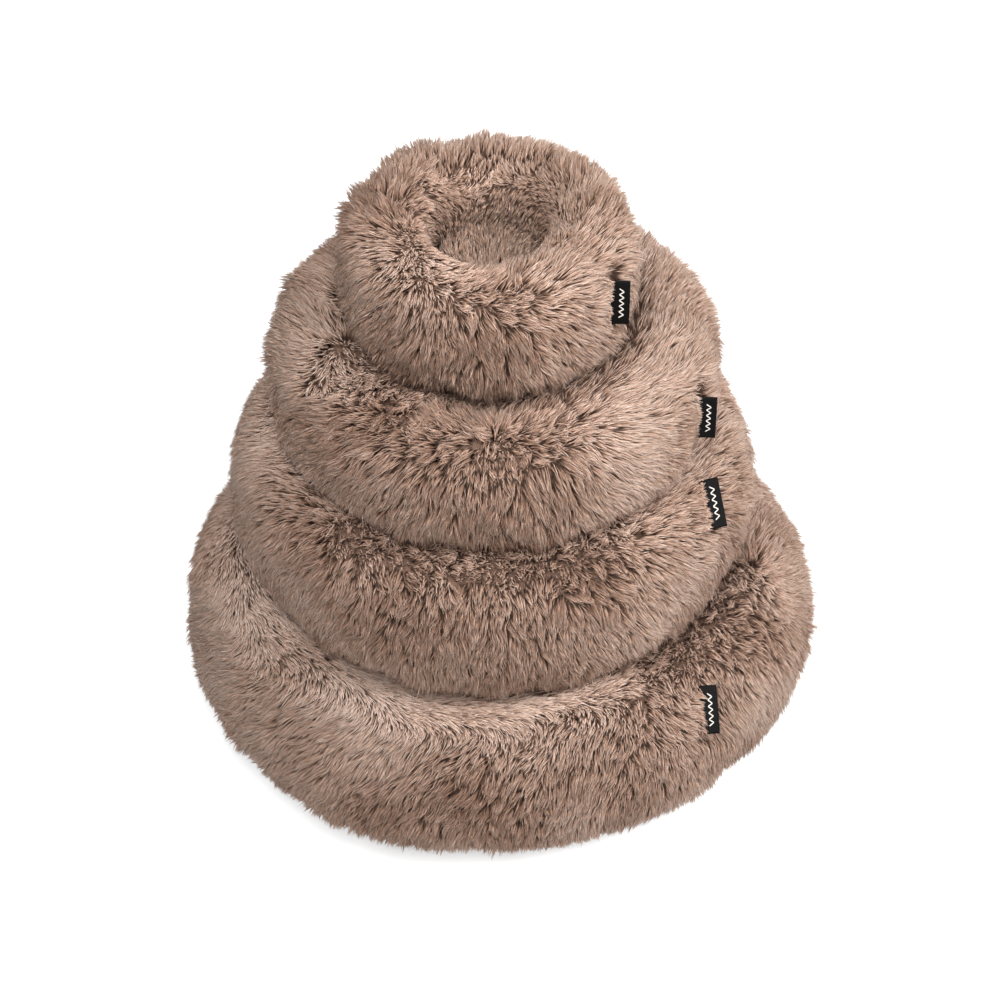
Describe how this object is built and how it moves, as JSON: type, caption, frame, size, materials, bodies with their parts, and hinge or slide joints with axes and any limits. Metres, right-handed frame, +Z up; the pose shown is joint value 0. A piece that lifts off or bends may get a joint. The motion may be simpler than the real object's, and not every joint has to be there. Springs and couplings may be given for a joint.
{
  "type": "donut pet bed",
  "caption": "Stack of round plush donut pet beds in graded sizes, each with a stuffed ring, a sleeping pad, a base cloth, a side label and a zip.",
  "frame": {"origin": "on the floor, under the middle of the largest bed", "axes": "+Z up through the stack; the front, as pictured, faces -Y; zips are at +Y"},
  "size_m": [1.0022, 1.0007, 0.8883],
  "materials": {
    "plush": "long pile faux fur, taupe",
    "fibre": "loose polyester fibre in a thin bag",
    "base_cloth": "woven polyester with rubber dots",
    "woven_label": "black satin-woven tape",
    "nylon_zip": "nylon coil on woven tape",
    "zinc_slider": "cast zinc, lacquered"
  },
  "bodies": {
    "extra_large_bed": {"extra_large_bolster_cover": "plush", "extra_large_bolster_filling": "fibre", "extra_large_pad_cover": "plush", "extra_large_pad_filling": "fibre", "extra_large_base_cloth": "base_cloth", "extra_large_side_label": "woven_label", "extra_large_zip": "nylon_zip"},
    "extra_large_zip_slider": {"extra_large_zip_slider": "zinc_slider"},
    "large_bed": {"large_bolster_cover": "plush", "large_bolster_filling": "fibre", "large_pad_cover": "plush", "large_pad_filling": "fibre", "large_base_cloth": "base_cloth", "large_side_label": "woven_label", "large_zip": "nylon_zip"},
    "large_zip_slider": {"large_zip_slider": "zinc_slider"},
    "medium_bed": {"medium_bolster_cover": "plush", "medium_bolster_filling": "fibre", "medium_pad_cover": "plush", "medium_pad_filling": "fibre", "medium_base_cloth": "base_cloth", "medium_side_label": "woven_label", "medium_zip": "nylon_zip"},
    "medium_zip_slider": {"medium_zip_slider": "zinc_slider"},
    "small_bed": {"small_bolster_cover": "plush", "small_bolster_filling": "fibre", "small_pad_cover": "plush", "small_pad_filling": "fibre", "small_base_cloth": "base_cloth", "small_side_label": "woven_label", "small_zip": "nylon_zip"},
    "small_zip_slider": {"small_zip_slider": "zinc_slider"}
  },
  "joints": [
    {"name": "large_bed_lift", "type": "slide", "parent": "extra_large_bed", "child": "large_bed", "axis": [0, 0, 1], "range_m": [0, 0.3]},
    {"name": "medium_bed_lift", "type": "slide", "parent": "large_bed", "child": "medium_bed", "axis": [0, 0, 1], "range_m": [0, 0.25]},
    {"name": "small_bed_lift", "type": "slide", "parent": "medium_bed", "child": "small_bed", "axis": [0, 0, 1], "range_m": [0, 0.25]},
    {"name": "extra_large_zip_run", "type": "hinge", "parent": "extra_large_bed", "child": "extra_large_zip_slider", "pos_m": [0, 0, 0.05], "axis": [0, 0, 1], "range_deg": [0, 87.3]},
    {"name": "large_zip_run", "type": "hinge", "parent": "large_bed", "child": "large_zip_slider", "pos_m": [-0.013, 0, 0.311], "axis": [0, 0, 1], "range_deg": [0, 86.6]},
    {"name": "medium_zip_run", "type": "hinge", "parent": "medium_bed", "child": "medium_zip_slider", "pos_m": [-0.011, 0, 0.563], "axis": [0, 0, 1], "range_deg": [0, 86]},
    {"name": "small_zip_run", "type": "hinge", "parent": "small_bed", "child": "small_zip_slider", "pos_m": [-0.016, 0, 0.744], "axis": [0, 0, 1], "range_deg": [0, 83.6]}
  ]
}
